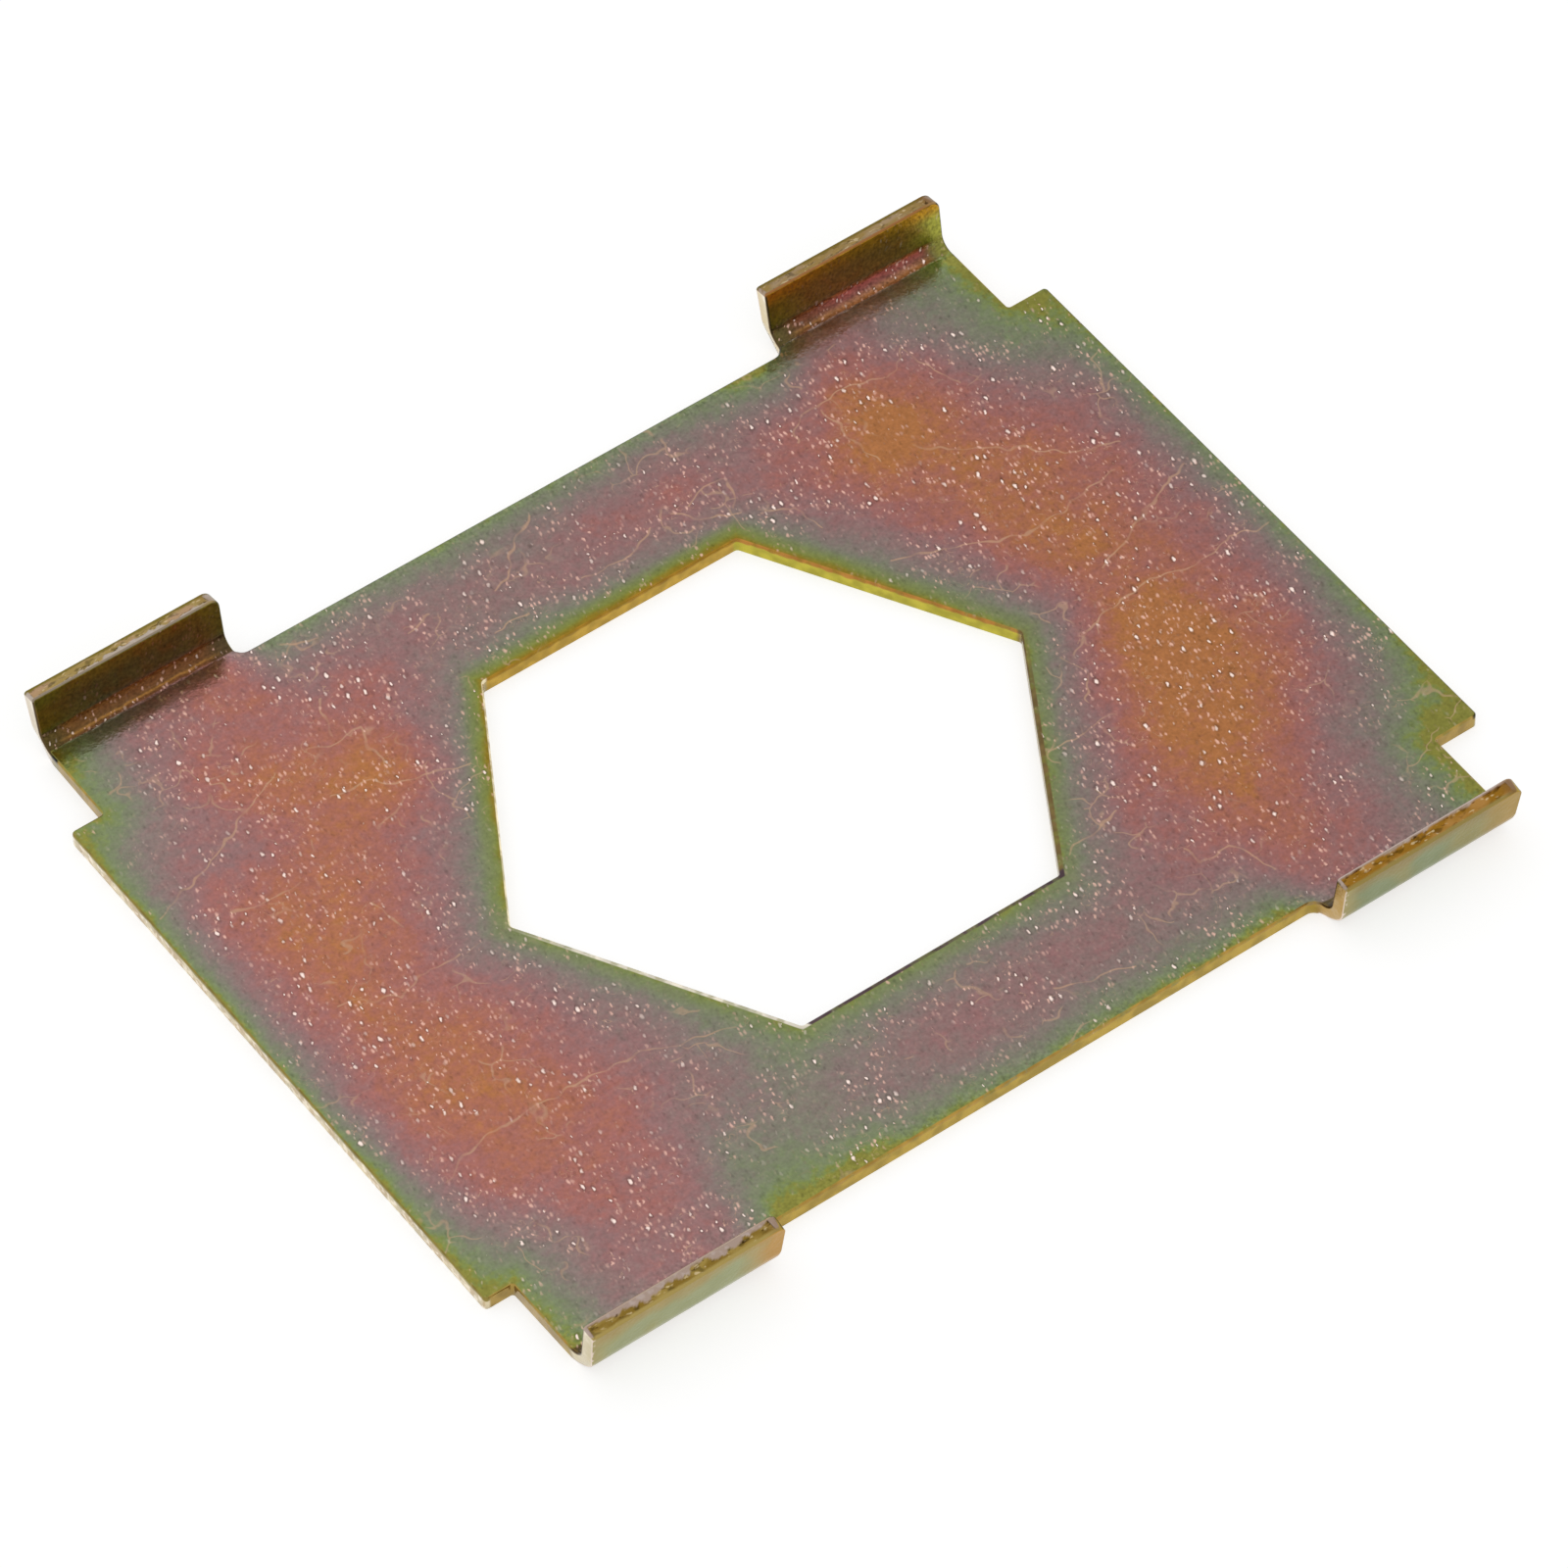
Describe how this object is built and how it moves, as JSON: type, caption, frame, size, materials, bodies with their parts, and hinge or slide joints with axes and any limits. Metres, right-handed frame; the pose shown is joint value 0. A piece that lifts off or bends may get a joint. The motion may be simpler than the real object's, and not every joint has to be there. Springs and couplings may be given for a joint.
{
  "type": "lock plate",
  "caption": "Flat sheet-metal lock plate with a hexagonal nut hole and upturned tabs at the ends of both long edges.",
  "frame": {"origin": "middle of the hexagonal hole, on the plate's underside", "axes": "+X along the two long edges, towards the end that reaches further from the hexagon; +Y across the plate; +Z towards the side that the tabs stand on"},
  "size_m": [0.1032, 0.0844, 0.0067],
  "materials": {
    "chromated_steel": "satin zinc plating with a yellow chromate film that shades from olive at the edges to mauve and orange-brown"
  },
  "bodies": {
    "root": {"lock_plate": "chromated_steel"}
  },
  "joints": []
}
